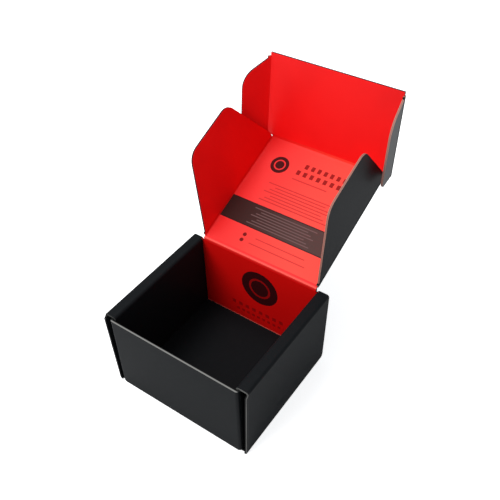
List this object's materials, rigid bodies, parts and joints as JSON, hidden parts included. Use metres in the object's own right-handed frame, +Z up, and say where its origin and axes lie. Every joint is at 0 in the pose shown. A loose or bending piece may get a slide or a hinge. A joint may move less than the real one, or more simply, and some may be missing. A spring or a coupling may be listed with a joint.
{
  "type": "corrugated mailer box",
  "caption": "Roll-over side walls of corrugated board form an open tray; a hinged lid has side wings and a front flap with ears that tuck into the front corners.",
  "frame": {"origin": "centre of the tray's base, on the surface that the box stands on", "axes": "+X to the right along the front wall, +Y from the front wall to the back wall, +Z up"},
  "size_m": [0.1216, 0.1929, 0.1698],
  "materials": {
    "black_board": "matte",
    "printed_board": "satin"
  },
  "bodies": {
    "tray": {"tray": "black_board"},
    "lid": {"lid": "printed_board"},
    "left_wing": {"left_wing": "printed_board"},
    "right_wing": {"right_wing": "printed_board"},
    "front_flap": {"front_flap": "printed_board"},
    "left_ear": {"left_ear": "printed_board"},
    "right_ear": {"right_ear": "printed_board"}
  },
  "joints": [
    {"name": "lid_fold", "type": "hinge", "parent": "tray", "child": "lid", "pos_m": [0, 0.0478, 0.0673], "axis": [-1, 0, 0], "range_deg": [-100, 42]},
    {"name": "left_wing_fold", "type": "hinge", "parent": "lid", "child": "left_wing", "pos_m": [-0.0471, 0.0478, 0.0673], "axis": [0, -0.9272, -0.3746], "range_deg": [-36, 14]},
    {"name": "right_wing_fold", "type": "hinge", "parent": "lid", "child": "right_wing", "pos_m": [0.0471, 0.0478, 0.0673], "axis": [0, 0.9272, 0.3746], "range_deg": [-20, 10]},
    {"name": "front_flap_fold", "type": "hinge", "parent": "lid", "child": "front_flap", "pos_m": [0, 0.13792, 0.10371], "axis": [1, 0, 0], "range_deg": [-63, 27]},
    {"name": "left_ear_fold", "type": "hinge", "parent": "front_flap", "child": "left_ear", "pos_m": [-0.0517, 0.13792, 0.10371], "axis": [0, -0.0872, -0.9962], "range_deg": [-16, 56]},
    {"name": "right_ear_fold", "type": "hinge", "parent": "front_flap", "child": "right_ear", "pos_m": [0.0517, 0.13792, 0.10371], "axis": [0, 0.0872, 0.9962], "range_deg": [-8, 82]}
  ]
}
